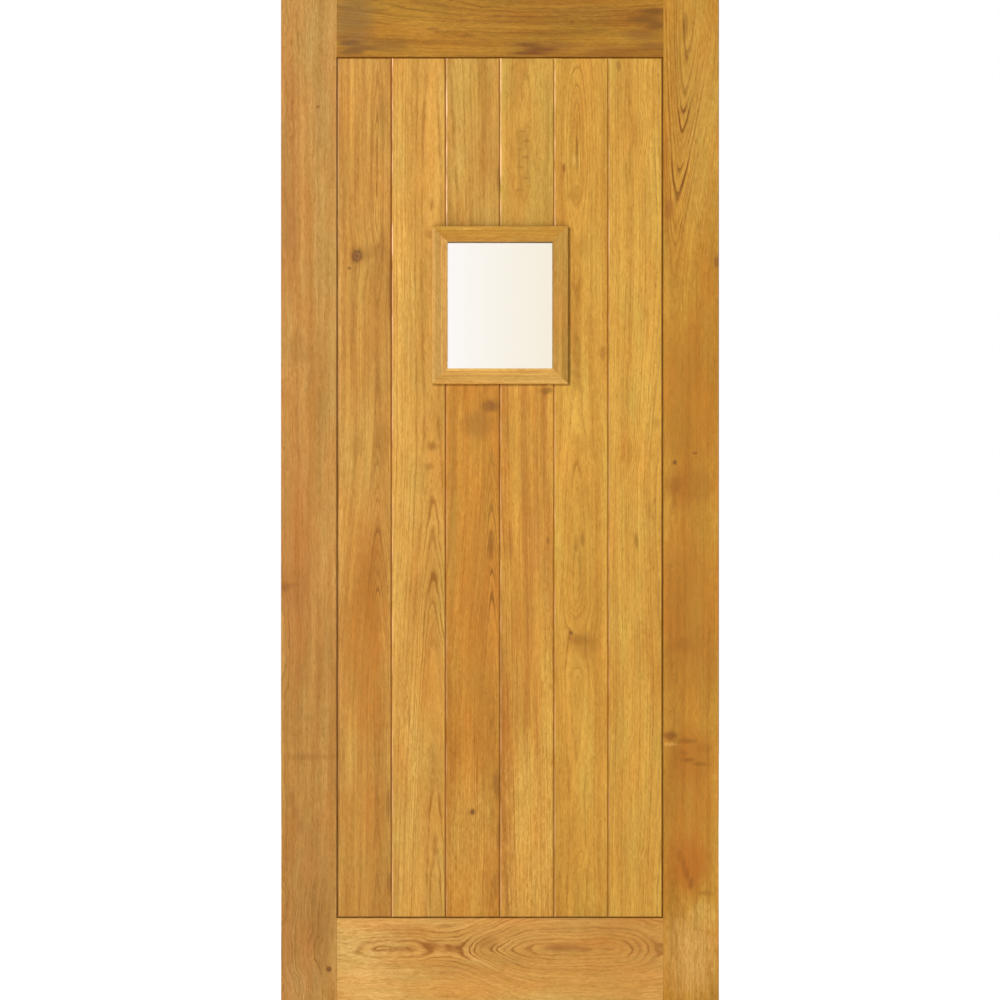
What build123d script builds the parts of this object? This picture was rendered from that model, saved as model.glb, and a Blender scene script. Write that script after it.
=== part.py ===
from build123d import *
import os

# An oak exterior door leaf, as it leaves the joinery shop: no hinges, lock or handle are fitted yet.
# A frame of two stiles and two rails, with wedged through tenons, holds a core panel in a groove.
# A skin of six V-jointed boards lies on each face of the core, a little back from the frame's faces.
# A small light with a sealed glass unit takes the place of the two middle boards at eye height,
# between mitred beads on the outside and the inside.
#
# The leaf stands as it hangs. X runs across it, Y through it with the outside at -Y, and Z up.
# The origin is at the middle of the bottom edge. Every size is in millimetres.

# The leaf and its frame
leaf_width = 864.0
leaf_height = 1981.0
leaf_thickness = 44.0
stile_width = 110.0
top_rail_width = 117.0
bottom_rail_width = 166.0
frame_arris = 1.5
shoulder_ease = 0.5

# The groove in the frame's inner edges, and the play of the core panel in it
groove_depth = 12.0
core_play = 0.1
core_end_gap = 1.0

# The tenons: their haunches stand in the groove, and the wedges spread them from outside
top_haunch = 38.0
bottom_haunch = 24.0
middle_haunch = 28.0
wedge_length = 60.0
wedge_butt = 5.0
wedge_tip = 1.0

# The boards of each skin
board_count = 6
board_thickness = 12.0
board_setback = 2.5
board_end_chamfer = 1.5
panel_gap = 1.5
joint_gap = 0.6
joint_chamfer = 2.5
tongue_thickness = 4.0
tongue_length = 6.0
tongue_back_land = 3.5
tongue_play = 0.15
tongue_end_play = 0.5

# The light: it is two boards wide, and its sight lines fall just inside the joints of those boards
light_boards = 2
sight_inset = 3.2
sight_height = 250.0
light_centre_height = 1375.0
glass_cover = 11.0
unit_clearance = 3.0
trimmer_width = 25.0

# The glazing beads
bead_width = 30.5
bead_projection = 12.0
bead_inner_projection = 6.0
bead_outer_land = 7.0
bead_splay_width = 11.0
bead_leg_play = 1.0
bead_round = 1.5
bead_sight_round = 1.0

# The sealed glass unit and what it is bedded on
pane_thickness = 4.0
cavity_width = 16.0
sealant_depth = 3.0
spacer_height = 6.5
spacer_corner = 5.0
tape_thickness = 1.5
tape_width = 9.0
tape_inset = 1.0
block_length = 30.0
setting_block_spacing = 130.0
location_block_spacing = 170.0

# The pins of the inner beads
pin_radius = 0.8
pin_head_radius = 1.3
pin_head_height = 1.0
pin_punch_depth = 1.5
pin_length = 30.0
pin_spacing_across = 140.0
pin_spacing_up = 115.0
pins_across = 2
pins_up = 3

# Sizes that follow
half_width = leaf_width / 2
half_thickness = leaf_thickness / 2
shoulder = half_width - stile_width
opening_width = 2 * shoulder
opening_top = leaf_height - top_rail_width
opening_bottom = bottom_rail_width
opening_height = opening_top - opening_bottom
board_face = half_thickness - board_setback
core_thickness = 2 * (board_face - board_thickness)
core_face = core_thickness / 2
groove_width = core_thickness + 2 * core_play
tenon_thickness = groove_width
board_bottom = opening_bottom + panel_gap
board_top = opening_top - panel_gap
board_pitch = (opening_width - 2 * panel_gap) / board_count
sight_width = light_boards * board_pitch - 2 * sight_inset
unit_width = sight_width + 2 * glass_cover
unit_height = sight_height + 2 * glass_cover
unit_face = pane_thickness + cavity_width / 2
cut_width = unit_width + 2 * unit_clearance
cut_height = unit_height + 2 * unit_clearance
cut_bottom = light_centre_height - cut_height / 2
cut_top = light_centre_height + cut_height / 2
light_centre = Vector(0, 0, light_centre_height)
trimmer_outer_width = cut_width + 2 * trimmer_width
trimmer_outer_height = cut_height + 2 * trimmer_width
top_tenons = [(opening_top + groove_depth, leaf_height - top_haunch)]
lower_tenon_width = (bottom_rail_width - groove_depth - middle_haunch - bottom_haunch) / 2
bottom_tenons = [
    (bottom_haunch, bottom_haunch + lower_tenon_width),
    (opening_bottom - groove_depth - lower_tenon_width, opening_bottom - groove_depth),
]

# The planes that things are drawn on: the leaf's middle, and the glass unit's middle within it
leaf_middle = Plane.XZ
light_plane = Plane(origin=light_centre, x_dir=(1, 0, 0), z_dir=(0, -1, 0))

parts = {}


def keep(name, shape):
    """Labels a finished piece and keeps it under its node's name."""
    shape.label = name
    parts[name] = shape


def wedge_outline(edge, away):
    """In a sketch on the leaf's middle plane, the side view of a wedge against a right-hand tenon's edge.

    The wedge runs in from the stile's outer edge; away is 1 above the tenon and -1 below it."""
    wedge_start = half_width - wedge_length
    Polygon(
        (wedge_start, edge),
        (half_width, edge),
        (half_width, edge + away * wedge_butt),
        (wedge_start, edge + away * wedge_tip),
        align=None,
    )


def tenon_outline(low, high, reach):
    """In a sketch on the leaf's middle plane, a right-hand tenon from the rail's shoulder outwards."""
    with Locations((shoulder, low)):
        Rectangle(reach, high - low, align=(Align.MIN, Align.MIN))


# The frame's outside shape, with an arris round the leaf and round the opening of the panel
with BuildPart() as frame_blank:
    Box(leaf_width, leaf_thickness, leaf_height, align=(Align.CENTER, Align.CENTER, Align.MIN))
    with Locations((0, 0, opening_bottom)):
        Box(
            opening_width,
            leaf_thickness,
            opening_height,
            align=(Align.CENTER, Align.CENTER, Align.MIN),
            mode=Mode.SUBTRACT,
        )
    chamfer(frame_blank.faces().filter_by(Axis.Y).edges(), length=frame_arris)

# The stiles: grooved from end to end on the inner edge, and morticed right through for the tenons
with BuildPart() as right_stile:
    with BuildSketch(Plane.XY):
        with Locations((half_width, 0)):
            Rectangle(stile_width, leaf_thickness, align=(Align.MAX, Align.CENTER))
        with Locations((shoulder, 0)):
            Rectangle(groove_depth, groove_width, align=(Align.MIN, Align.CENTER), mode=Mode.SUBTRACT)
    extrude(amount=leaf_height)
    add(frame_blank.part, mode=Mode.INTERSECT)
    with BuildSketch(leaf_middle):
        for low, high in top_tenons + bottom_tenons:
            tenon_outline(low, high, stile_width)
            wedge_outline(high, 1)
            wedge_outline(low, -1)
    extrude(amount=tenon_thickness / 2, both=True, mode=Mode.SUBTRACT)
keep("right_stile", right_stile.part)

with BuildPart() as left_stile:
    mirror(right_stile.part, about=Plane.YZ)
keep("left_stile", left_stile.part)


def rail(low, high, grooved_edge, tenons, haunch_low, haunch_high):
    """A rail between the stiles, grooved for the core panel, with haunched through tenons at both ends."""
    into_rail = 1 if grooved_edge == low else -1
    groove_align = Align.MIN if into_rail > 0 else Align.MAX
    with BuildPart() as blank:
        with BuildSketch(Plane.YZ):
            with Locations((0, low)):
                Rectangle(leaf_thickness, high - low, align=(Align.CENTER, Align.MIN))
            with Locations((0, grooved_edge)):
                Rectangle(
                    groove_width, groove_depth, align=(Align.CENTER, groove_align), mode=Mode.SUBTRACT
                )
        extrude(amount=shoulder, both=True)
        add(frame_blank.part, mode=Mode.INTERSECT)
        ends = blank.faces().filter_by(Axis.X).edges().filter_by(Axis.Z)
        chamfer(ends.group_by(lambda edge: abs(edge.center().Y))[-1], length=shoulder_ease)
        with BuildSketch(leaf_middle):
            tenon_outline(haunch_low, haunch_high, groove_depth)
            for tenon_low, tenon_high in tenons:
                tenon_outline(tenon_low, tenon_high, stile_width)
            mirror(about=Plane.YZ)
        extrude(amount=tenon_thickness / 2, both=True)
    return blank.part


def rail_wedges(tenons):
    """The wedges of a rail's tenons, two to each tenon at both ends."""
    with BuildPart() as wedges:
        with BuildSketch(leaf_middle):
            for low, high in tenons:
                wedge_outline(high, 1)
                wedge_outline(low, -1)
            mirror(about=Plane.YZ)
        extrude(amount=tenon_thickness / 2, both=True)
    return wedges.part


keep(
    "top_rail",
    rail(opening_top, leaf_height, opening_top, top_tenons, opening_top + groove_depth, leaf_height),
)
keep(
    "bottom_rail",
    rail(0, opening_bottom, opening_bottom, bottom_tenons, 0, opening_bottom - groove_depth),
)
keep("top_rail_wedges", rail_wedges(top_tenons))
keep("bottom_rail_wedges", rail_wedges(bottom_tenons))

# The core panel stands on the bottom rail's groove, with a gap for movement at its other edges
with BuildPart() as core_panel:
    with BuildSketch(leaf_middle):
        with Locations((0, opening_bottom - groove_depth)):
            Rectangle(
                opening_width + 2 * (groove_depth - core_end_gap),
                opening_height + 2 * groove_depth - core_end_gap,
                align=(Align.CENTER, Align.MIN),
            )
        with Locations((0, light_centre_height)):
            Rectangle(trimmer_outer_width, trimmer_outer_height, mode=Mode.SUBTRACT)
    extrude(amount=core_face, both=True)
keep("core_panel", core_panel.part)


def trimmer(left, right, low, high):
    """A solid oak batten in the core's thickness, beside the hole for the glass unit."""
    with BuildPart() as batten:
        with BuildSketch(leaf_middle):
            with Locations((left, low)):
                Rectangle(right - left, high - low, align=(Align.MIN, Align.MIN))
        extrude(amount=core_face, both=True)
    return batten.part


half_trimmed = trimmer_outer_width / 2
half_cut = cut_width / 2
trimmers = {
    "light_head_trimmer": trimmer(-half_trimmed, half_trimmed, cut_top, cut_top + trimmer_width),
    "light_foot_trimmer": trimmer(-half_trimmed, half_trimmed, cut_bottom - trimmer_width, cut_bottom),
    "light_left_trimmer": trimmer(-half_trimmed, -half_cut, cut_bottom, cut_top),
    "light_right_trimmer": trimmer(half_cut, half_trimmed, cut_bottom, cut_top),
}


def front_board(index, low, high, chamfered_ends):
    """A board of the outside skin from low to high: its number from the left is index + 1.

    Each joint has a V between the faces, a tongue on the left board and a groove in the right one."""
    has_groove = index > 0
    has_tongue = index < board_count - 1
    pitch_left = index * board_pitch - board_pitch * board_count / 2
    left = pitch_left + (joint_gap / 2 if has_groove else 0)
    right = pitch_left + board_pitch - (joint_gap / 2 if has_tongue else 0)
    tongue_low = -core_face - tongue_back_land
    with BuildPart() as board:
        with BuildSketch(Plane.XY.offset(low)) as section:
            with Locations((left, -board_face)):
                Rectangle(right - left, board_thickness, align=Align.MIN)
            chamfer(section.vertices().group_by(Axis.Y)[0], length=joint_chamfer)
            if has_groove:
                with Locations((left, tongue_low + tongue_play)):
                    Rectangle(
                        tongue_length - joint_gap + tongue_end_play,
                        tongue_thickness + 2 * tongue_play,
                        align=(Align.MIN, Align.MAX),
                        mode=Mode.SUBTRACT,
                    )
            if has_tongue:
                with Locations((right, tongue_low)):
                    Rectangle(tongue_length, tongue_thickness, align=(Align.MIN, Align.MAX))
        extrude(amount=high - low)
        face = board.faces().filter_by(Axis.Y).sort_by(Axis.Y)[0]
        ends = face.edges().filter_by(Axis.X).sort_by(Axis.Z)
        chamfer([ends[end] for end in chamfered_ends], length=board_end_chamfer)
        with BuildSketch(light_plane):
            Rectangle(cut_width, cut_height)
        extrude(amount=leaf_thickness, mode=Mode.SUBTRACT)
    return board.part


# The outside skin. The boards that the light takes the place of are in two lengths, above and below it
bottom_end = 0
top_end = -1
first_light_board = (board_count - light_boards) // 2
front_boards = {}
for index in range(board_count):
    name = f"board_{index + 1}"
    if first_light_board <= index < first_light_board + light_boards:
        front_boards[name + "_lower"] = front_board(index, board_bottom, cut_bottom, [bottom_end])
        front_boards[name + "_upper"] = front_board(index, cut_top, board_top, [top_end])
    else:
        front_boards[name] = front_board(index, board_bottom, board_top, [bottom_end, top_end])

# The inside skin mirrors it
for name, board in front_boards.items():
    keep("front_" + name, board)
    with BuildPart() as back_board:
        mirror(board, about=Plane.XZ)
    keep("back_" + name, back_board.part)

# The sealed unit: two panes, the spacer bar bent round their edges, and the sealant outside it
for name, side in {"outer_pane": 1, "inner_pane": -1}.items():
    with BuildPart() as pane:
        with BuildSketch(light_plane.offset(side * cavity_width / 2)):
            Rectangle(unit_width, unit_height)
        extrude(amount=side * pane_thickness)
    keep(name, pane.part)

spacer_outer_width = unit_width - 2 * sealant_depth
spacer_outer_height = unit_height - 2 * sealant_depth
with BuildPart() as spacer_bar:
    with BuildSketch(light_plane):
        RectangleRounded(spacer_outer_width, spacer_outer_height, spacer_corner)
        Rectangle(
            spacer_outer_width - 2 * spacer_height,
            spacer_outer_height - 2 * spacer_height,
            mode=Mode.SUBTRACT,
        )
    extrude(amount=cavity_width / 2, both=True)
keep("spacer_bar", spacer_bar.part)

with BuildPart() as edge_sealant:
    with BuildSketch(light_plane):
        Rectangle(unit_width, unit_height)
        RectangleRounded(spacer_outer_width, spacer_outer_height, spacer_corner, mode=Mode.SUBTRACT)
    extrude(amount=cavity_width / 2, both=True)
keep("edge_sealant", edge_sealant.part)

# The glazing tape between each bead and its pane
tape_inner_width = sight_width + 2 * tape_inset
tape_inner_height = sight_height + 2 * tape_inset
for name, side in {"outer_glazing_tape": 1, "inner_glazing_tape": -1}.items():
    with BuildPart() as tape:
        with BuildSketch(light_plane.offset(side * unit_face)):
            Rectangle(tape_inner_width + 2 * tape_width, tape_inner_height + 2 * tape_width)
            Rectangle(tape_inner_width, tape_inner_height, mode=Mode.SUBTRACT)
        extrude(amount=side * tape_thickness)
    keep(name, tape.part)

# The plastic blocks that carry the unit on the foot of its hole, and those that centre it at the sides
with BuildPart() as setting_blocks:
    with BuildSketch(light_plane):
        with Locations((0, -(unit_height + unit_clearance) / 2)):
            with GridLocations(setting_block_spacing, 0, 2, 1):
                Rectangle(block_length, unit_clearance)
    extrude(amount=unit_face, both=True)
keep("setting_blocks", setting_blocks.part)

with BuildPart() as location_blocks:
    with BuildSketch(light_plane):
        with GridLocations(unit_width + unit_clearance, location_block_spacing, 2, 2):
            Rectangle(unit_clearance, block_length)
    extrude(amount=unit_face, both=True)
keep("location_blocks", location_blocks.part)


def outer_bead(outwards, run, half_sight_out, half_sight_along):
    """One mitred bead of the outside face.

    outwards points from the light's centre to the bead, and run along it, so that the section is
    drawn with its second axis towards the outside of the door. The bead laps over the boards, with a
    leg that reaches in to the glass. Its face drops from a proud outer land, down a splay, to an
    inner land at the sight line."""
    outwards = Vector(outwards)
    run = Vector(run)
    half_length = half_sight_along + bead_width
    outer_edge = half_sight_out + bead_width
    leg_side = half_sight_out + glass_cover + unit_clearance - bead_leg_play
    leg_foot = unit_face + tape_thickness
    with BuildPart() as bead:
        with BuildSketch(Plane(origin=light_centre - run * half_length, x_dir=outwards, z_dir=run)) as section:
            with BuildLine():
                Polyline(
                    (half_sight_out, leg_foot),
                    (leg_side, leg_foot),
                    (leg_side, board_face),
                    (outer_edge, board_face),
                    (outer_edge, board_face + bead_projection),
                    (outer_edge - bead_outer_land, board_face + bead_projection),
                    (outer_edge - bead_outer_land - bead_splay_width, board_face + bead_inner_projection),
                    (half_sight_out, board_face + bead_inner_projection),
                    close=True,
                )
            make_face()
            proud_corners = section.vertices().group_by(Axis.Y)[-1]
            sight_corner = section.vertices().group_by(Axis.X)[0].sort_by(Axis.Y)[-1]
            fillet(proud_corners, radius=bead_round)
            fillet(sight_corner, radius=bead_sight_round)
        extrude(amount=2 * half_length)
        for end in (1, -1):
            sight_point = light_centre + outwards * half_sight_out + run * (end * half_sight_along)
            split(bisect_by=Plane(origin=sight_point, z_dir=outwards - run * end), keep=Keep.TOP)
    return bead.part


half_sight_width = sight_width / 2
half_sight_height = sight_height / 2
outer_beads = {
    "bead_head": outer_bead((0, 0, 1), (1, 0, 0), half_sight_height, half_sight_width),
    "bead_foot": outer_bead((0, 0, -1), (-1, 0, 0), half_sight_height, half_sight_width),
    "bead_left": outer_bead((-1, 0, 0), (0, 0, 1), half_sight_width, half_sight_height),
    "bead_right": outer_bead((1, 0, 0), (0, 0, -1), half_sight_width, half_sight_height),
}
for name, bead in outer_beads.items():
    keep("outer_" + name, bead)

# The pins that hold the inner beads. They are punched below the beads' outer lands
pin_inset = bead_outer_land / 2
pin_column_x = half_sight_width + bead_width - pin_inset
pin_row_z = half_sight_height + bead_width - pin_inset
bead_back = board_face + bead_projection
with BuildPart() as inner_bead_pins:
    with BuildSketch(light_plane.offset(-(bead_back - pin_punch_depth))) as pin_heads:
        with GridLocations(pin_spacing_across, 2 * pin_row_z, pins_across, 2):
            Circle(pin_head_radius)
        with GridLocations(2 * pin_column_x, pin_spacing_up, 2, pins_up):
            Circle(pin_head_radius)
    extrude(amount=pin_head_height)
    with BuildSketch(light_plane.offset(-(bead_back - pin_punch_depth))):
        with GridLocations(pin_spacing_across, 2 * pin_row_z, pins_across, 2):
            Circle(pin_radius)
        with GridLocations(2 * pin_column_x, pin_spacing_up, 2, pins_up):
            Circle(pin_radius)
    extrude(amount=pin_length)
keep("inner_bead_pins", inner_bead_pins.part)

# The room that each pin takes in what it goes through, with the punched hole over its head
with BuildPart() as pin_room:
    add(inner_bead_pins.part)
    extrude(pin_heads.sketch, amount=-pin_punch_depth)

for name, bead in outer_beads.items():
    with BuildPart() as inner_bead:
        mirror(bead, about=Plane.XZ)
        add(pin_room.part, mode=Mode.SUBTRACT)
    keep("inner_" + name, inner_bead.part)

for name, shape in list(parts.items()) + list(trimmers.items()):
    if name.startswith("back_board") or name in trimmers:
        with BuildPart() as pinned:
            add(shape)
            add(inner_bead_pins.part, mode=Mode.SUBTRACT)
        keep(name, pinned.part)

os.makedirs("parts", exist_ok=True)
for name, shape in parts.items():
    export_step(shape, f"parts/{name}.step")
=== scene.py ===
import math

import bpy
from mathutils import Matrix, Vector


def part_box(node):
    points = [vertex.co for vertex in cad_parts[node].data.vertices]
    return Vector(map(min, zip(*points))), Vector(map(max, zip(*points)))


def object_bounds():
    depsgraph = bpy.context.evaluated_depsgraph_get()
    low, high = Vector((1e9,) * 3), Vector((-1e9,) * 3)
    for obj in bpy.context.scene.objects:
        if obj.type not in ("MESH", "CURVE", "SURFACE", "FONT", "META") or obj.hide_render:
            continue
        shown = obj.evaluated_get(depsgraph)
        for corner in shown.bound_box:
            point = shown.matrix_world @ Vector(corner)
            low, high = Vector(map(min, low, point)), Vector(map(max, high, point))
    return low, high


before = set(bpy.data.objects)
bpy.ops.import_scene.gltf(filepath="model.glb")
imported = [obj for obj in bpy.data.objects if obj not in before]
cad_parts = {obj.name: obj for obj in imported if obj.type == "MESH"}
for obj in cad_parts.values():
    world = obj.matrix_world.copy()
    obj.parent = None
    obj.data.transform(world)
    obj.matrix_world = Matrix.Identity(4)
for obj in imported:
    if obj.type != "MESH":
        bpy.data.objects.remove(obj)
cad_low, cad_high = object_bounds()

# The looks of an oak door leaf: solid oak with its growth rings, pores, knots and stains worked out in
# three dimensions, a sealed glass unit, and a plain studio. The scene is in metres, X across the leaf as
# seen from outside, Y through it with the outside at -Y, and Z up. The tables of oak are in millimetres.

MM = 0.001
LEAF_HEIGHT = cad_high.z
OUTER_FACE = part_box("right_stile")[0].y
BOARD_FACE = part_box("front_board_1")[0].y

# The pith swings in and out of a board's face once in this length of the log
SWING_LENGTH = 0.9
# A smooth step between minus and plus this, over one to either side, has a slope of one at its middle
BEND_REST = 2 / 3
# A mark or a knot goes this deep into its piece
MARK_DEPTH = 0.03
# How far the noise of one seed lies from the next seed's, in metres
SEED_STEP = (1.3, 2.7, 4.1)

# Noise in oak: cycles per metre across the board, into it and along the grain, then detail and roughness.
# Wander is 140 mm by 660 mm, ripple 18 mm by 45 mm, and tone, for slow changes of tone and hue, 38 mm by
# 160 mm. Real fibres are a tenth as wide as the 3 mm of these, and real pores 0.3 mm where these are 1.5 mm.
WANDER = ((7.0, 7.0, 1.5), 2.0, 0.5)
RIPPLE = ((55.0, 55.0, 22.0), 3.0, 0.5)
CURL = ((110.0, 110.0, 40.0), 2.0, 0.5)
FIBRES = ((340.0, 340.0, 60.0), 3.0, 0.68)
PORES = ((650.0, 650.0, 60.0), 1.0, 0.5)
TONE = ((26.0, 26.0, 6.0), 3.0, 0.5)
FRAY = ((110.0, 110.0, 35.0), 4.0, 0.7)
# The next noise breaks the painted highlight on the chamfers into patches
HIGHLIGHT_PATCHES = ((8.0, 8.0, 16.0), 3.0, 0.5)
# The same for noise that follows the rings: cycles per ring, then per metre across and along the grain
GAPS = ((0.7, 1.0, 16.0), 2.0, 0.5)
BANDS = ((0.35, 10.0, 2.2), 2.0, 0.5)
STRANDS = ((2.1, 60.0, 12.0), 3.0, 0.6)

# The curl moves a fibre by a quarter of this, in metres, and the fraying a patch's edge, in reaches
CURL_REACH = 0.012
FRAY_REACH = 1.1
# The strands' share in the fibres
STRAND_SHARE = 0.4
# Wide and narrow years: cycles per ring of their noise, and how many rings it adds
YEAR_CYCLES = 0.31
YEAR_REACH = 2.2
# How dark the wood is through one year, as share of the ring and darkness: early wood first
EARLY_WOOD = ((0.0, 0.8), (0.08, 1.0), (0.26, 0.5), (0.45, 0.12), (0.85, 0.04), (0.95, 0.3), (1.0, 0.8))
# What is left of the early wood's line in its faintest year, in its gaps, and where a face cuts it upright
FAINT_YEAR = 0.3
FAINT_GAP = 0.3
FAINT_UPRIGHT = 0.45
# How many pores are open away from the line, and how many more on it
SCATTERED_PORES = 0.3
CROWDED_PORES = 0.7

# A knot from its dark halo to its heart: colour, share of its radius, strength
KNOT_PARTS = (("7a4a14", 1.9, 0.5), ("3c2008", 1.15, 1.0), ("84562a", 0.8, 0.9), ("4e3010", 0.35, 0.8))
# A knot is longer along the board than it is wide, and moves the rings as far as these, in radii
KNOT_LENGTH = 1.2
KNOT_REACH = (4, 7)
# What the finest and the slowest changes multiply the wood by: pale fibres are less yellow than dark ones
SHADES = (
    ("Fibre", (0.74, 0.66, 0.44, 1.0), (1.26, 1.34, 1.56, 1.0)),
    ("Tone", (0.94, 0.92, 0.88, 1.0), (1.06, 1.08, 1.12, 1.0)),
    ("Hue", (1.04, 0.95, 0.88, 1.0), (0.96, 1.05, 1.1, 1.0)),
)
# A stain takes more in pale fibres than in dark ones: the fibre times the first of these, plus the second
STAIN_GRAIN = (3.0, -0.5)
PORE_FILLING = "6e4418"
FILLED_PORES = 0.4
# Painted shade in the chamfers, weaker on those that face left, the key light's side
CHAMFER_SHADE_TONE = "803600"
# Painted highlight on the chamfers that face left, the key light's side
CHAMFER_HIGHLIGHT_TONE = "e6b88c"
# A chamfer faces outwards by the root of a half, give or take this
CHAMFER_SPREAD = 0.1
# The painted highlight on the chamfers is weakest below the first height, and full above the second, in
# metres
HIGHLIGHT_HEIGHTS = (1.2, 1.5)
LEAST_HIGHLIGHT = 0.45
# Sanded and oiled oak: satin between the pores and dull in them, with little gloss
OAK_ROUGHNESS = (0.6, 0.8)
OAK_IOR = 1.45
OAK_GLOSS = 0.15
# How deep the pores and the lines of early wood lie, as shares of the relief, which is in millimetres
PORE_RELIEF = -0.7
LINE_RELIEF = -0.3
OAK_RELIEF = 0.1
OAK_BUMP = 0.5


def linear(hex_colour):
    """An sRGB hex colour as linear red, green, blue and full alpha."""
    channels = [int(hex_colour[i : i + 2], 16) / 255 for i in (0, 2, 4)]
    return [c / 12.92 if c <= 0.04045 else ((c + 0.055) / 1.055) ** 2.4 for c in channels] + [1.0]


def add(tree, kind, sockets=None, **settings):
    """Adds a node with its settings, then its sockets by name or number: another node's output is linked,
    and any other value is set. A Mix node takes a share in 0 and two colours in 6 and 7, or two numbers in
    2 and 3, and gives a colour in output 2 or a number in output 0."""
    made = tree.nodes.new(kind)
    for name, value in settings.items():
        setattr(made, name, value)
    for key, value in (sockets or {}).items():
        if isinstance(value, bpy.types.NodeSocket):
            tree.links.new(value, made.inputs[key])
        else:
            made.inputs[key].default_value = value
    return made


def group(name, inputs, outputs):
    """An empty node group with its sockets, its input node's outputs and its output node."""
    tree = bpy.data.node_groups.new(name, "ShaderNodeTree")
    for in_out, sockets in (("INPUT", inputs), ("OUTPUT", outputs)):
        for socket_name, kind in sockets.items():
            tree.interface.new_socket(socket_name, in_out=in_out, socket_type="NodeSocket" + kind)
    return tree, tree.nodes.new("NodeGroupInput").outputs, tree.nodes.new("NodeGroupOutput")


def streaks(tree, place, cycles, detail=2.0, roughness=0.5):
    """Noise drawn out along a piece: cycles are per metre across it, into it and along it."""
    drawn = add(tree, "ShaderNodeVectorMath", {0: place, 1: cycles}, operation="MULTIPLY")
    return add(
        tree, "ShaderNodeTexNoise",
        {"Vector": drawn.outputs[0], "Scale": 1.0, "Detail": detail, "Roughness": roughness},
    ).outputs


def shove(tree, noise, reach):
    """A noise as a move to any side: its colour less its mean of a half, times a reach."""
    centred = add(tree, "ShaderNodeVectorMath", {0: noise["Color"], 1: (0.5, 0.5, 0.5)}, operation="SUBTRACT")
    scaled = {0: centred.outputs[0], "Scale": reach}
    return add(tree, "ShaderNodeVectorMath", scaled, operation="SCALE").outputs[0]


def measure_rings(tree, given, x, y, z):
    """A place's distance from the pith, counted in rings, and how flat a face there cuts them, up to 1.

    The pith is a line that leans over the length of its bend and swings in and out of the board. The rings
    lie round it at equal distances, tapered along the bend, and some years are wider than others."""
    # the place along the bend runs on with the grain at the middle and comes to rest at both ends
    bend = add(tree, "ShaderNodeMath", {0: z, 1: given["Bend"]}, operation="DIVIDE").outputs[0]
    bend = add(
        tree, "ShaderNodeMapRange",
        {"Value": bend, "From Min": -1.0, "From Max": 1.0, "To Min": -BEND_REST, "To Max": BEND_REST},
        interpolation_type="SMOOTHSTEP",
    ).outputs[0]
    bend = add(tree, "ShaderNodeMath", {0: bend, 1: given["Bend"]}, operation="MULTIPLY").outputs[0]
    pith_x = add(
        tree, "ShaderNodeMath", {0: bend, 1: given["Lean across"], 2: given["Pith across"]},
        operation="MULTIPLY_ADD",
    ).outputs[0]
    across = add(tree, "ShaderNodeMath", {0: x, 1: pith_x}, operation="SUBTRACT").outputs[0]
    turn = add(tree, "ShaderNodeMath", {0: z, 1: 2 * math.pi / SWING_LENGTH}, operation="MULTIPLY").outputs[0]
    turn = add(tree, "ShaderNodeMath", {0: turn}, operation="COSINE").outputs[0]
    turn = add(tree, "ShaderNodeMath", {0: 1.0, 1: turn}, operation="SUBTRACT").outputs[0]
    depth = given["Pith depth"]
    parts = ((bend, given["Lean depth"]), (turn, given["Swing"]), (y, 1.0), (given["Swell"], 1.0))
    for amount, unit in parts:
        deeper = {0: amount, 1: unit, 2: depth}
        depth = add(tree, "ShaderNodeMath", deeper, operation="MULTIPLY_ADD").outputs[0]
    arm = add(tree, "ShaderNodeCombineXYZ", {0: across, 1: depth}).outputs[0]
    radius = add(tree, "ShaderNodeVectorMath", {0: arm}, operation="LENGTH").outputs["Value"]
    tapered = {0: bend, 1: given["Taper"], 2: radius}
    age = add(tree, "ShaderNodeMath", tapered, operation="MULTIPLY_ADD").outputs[0]
    age = add(tree, "ShaderNodeMath", {0: age, 1: given["Ring"]}, operation="DIVIDE").outputs[0]
    years = add(tree, "ShaderNodeMath", {0: age, 1: YEAR_CYCLES, 2: given["Seed"]}, operation="MULTIPLY_ADD")
    uneven = add(
        tree, "ShaderNodeTexNoise", {"W": years.outputs[0], "Scale": 1.0, "Detail": 1.0},
        noise_dimensions="1D",
    ).outputs[0]
    age = add(tree, "ShaderNodeMath", {0: uneven, 1: YEAR_REACH, 2: age}, operation="MULTIPLY_ADD").outputs[0]
    flat = add(tree, "ShaderNodeMath", {0: depth, 1: radius}, operation="DIVIDE").outputs[0]
    return age, add(tree, "ShaderNodeMath", {0: flat}, operation="ABSOLUTE").outputs[0]


def draw_early_wood(tree, age, flat, ringed):
    """The early wood's dark line: fainter in some years, fading and coming back every 60 mm or so along
    the grain, and boldest where the face cuts the rings flat."""
    season = add(tree, "ShaderNodeMath", {0: age}, operation="FRACT").outputs[0]
    early = add(tree, "ShaderNodeFloatCurve", {"Value": season})
    curve = early.mapping.curves[0]
    curve.points[0].location = EARLY_WOOD[0]
    curve.points[1].location = EARLY_WOOD[-1]
    for share, darkness in EARLY_WOOD[1:-1]:
        curve.points.new(share, darkness)
    early.mapping.update()
    year = add(tree, "ShaderNodeMath", {0: age}, operation="FLOOR").outputs[0]
    luck = add(tree, "ShaderNodeTexWhiteNoise", {"W": year}, noise_dimensions="1D").outputs["Value"]
    luck = add(tree, "ShaderNodeMapRange", {"Value": luck, "To Min": FAINT_YEAR}).outputs[0]
    gaps = streaks(tree, ringed, *GAPS)["Fac"]
    gaps = add(
        tree, "ShaderNodeMapRange", {"Value": gaps, "From Min": 0.34, "From Max": 0.6, "To Min": FAINT_GAP},
    ).outputs[0]
    flat = add(tree, "ShaderNodeMapRange", {"Value": flat, "To Min": FAINT_UPRIGHT}).outputs[0]
    line = early.outputs[0]
    for left_over in (luck, gaps, flat):
        line = add(tree, "ShaderNodeMath", {0: line, 1: left_over}, operation="MULTIPLY").outputs[0]
    return line


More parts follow.
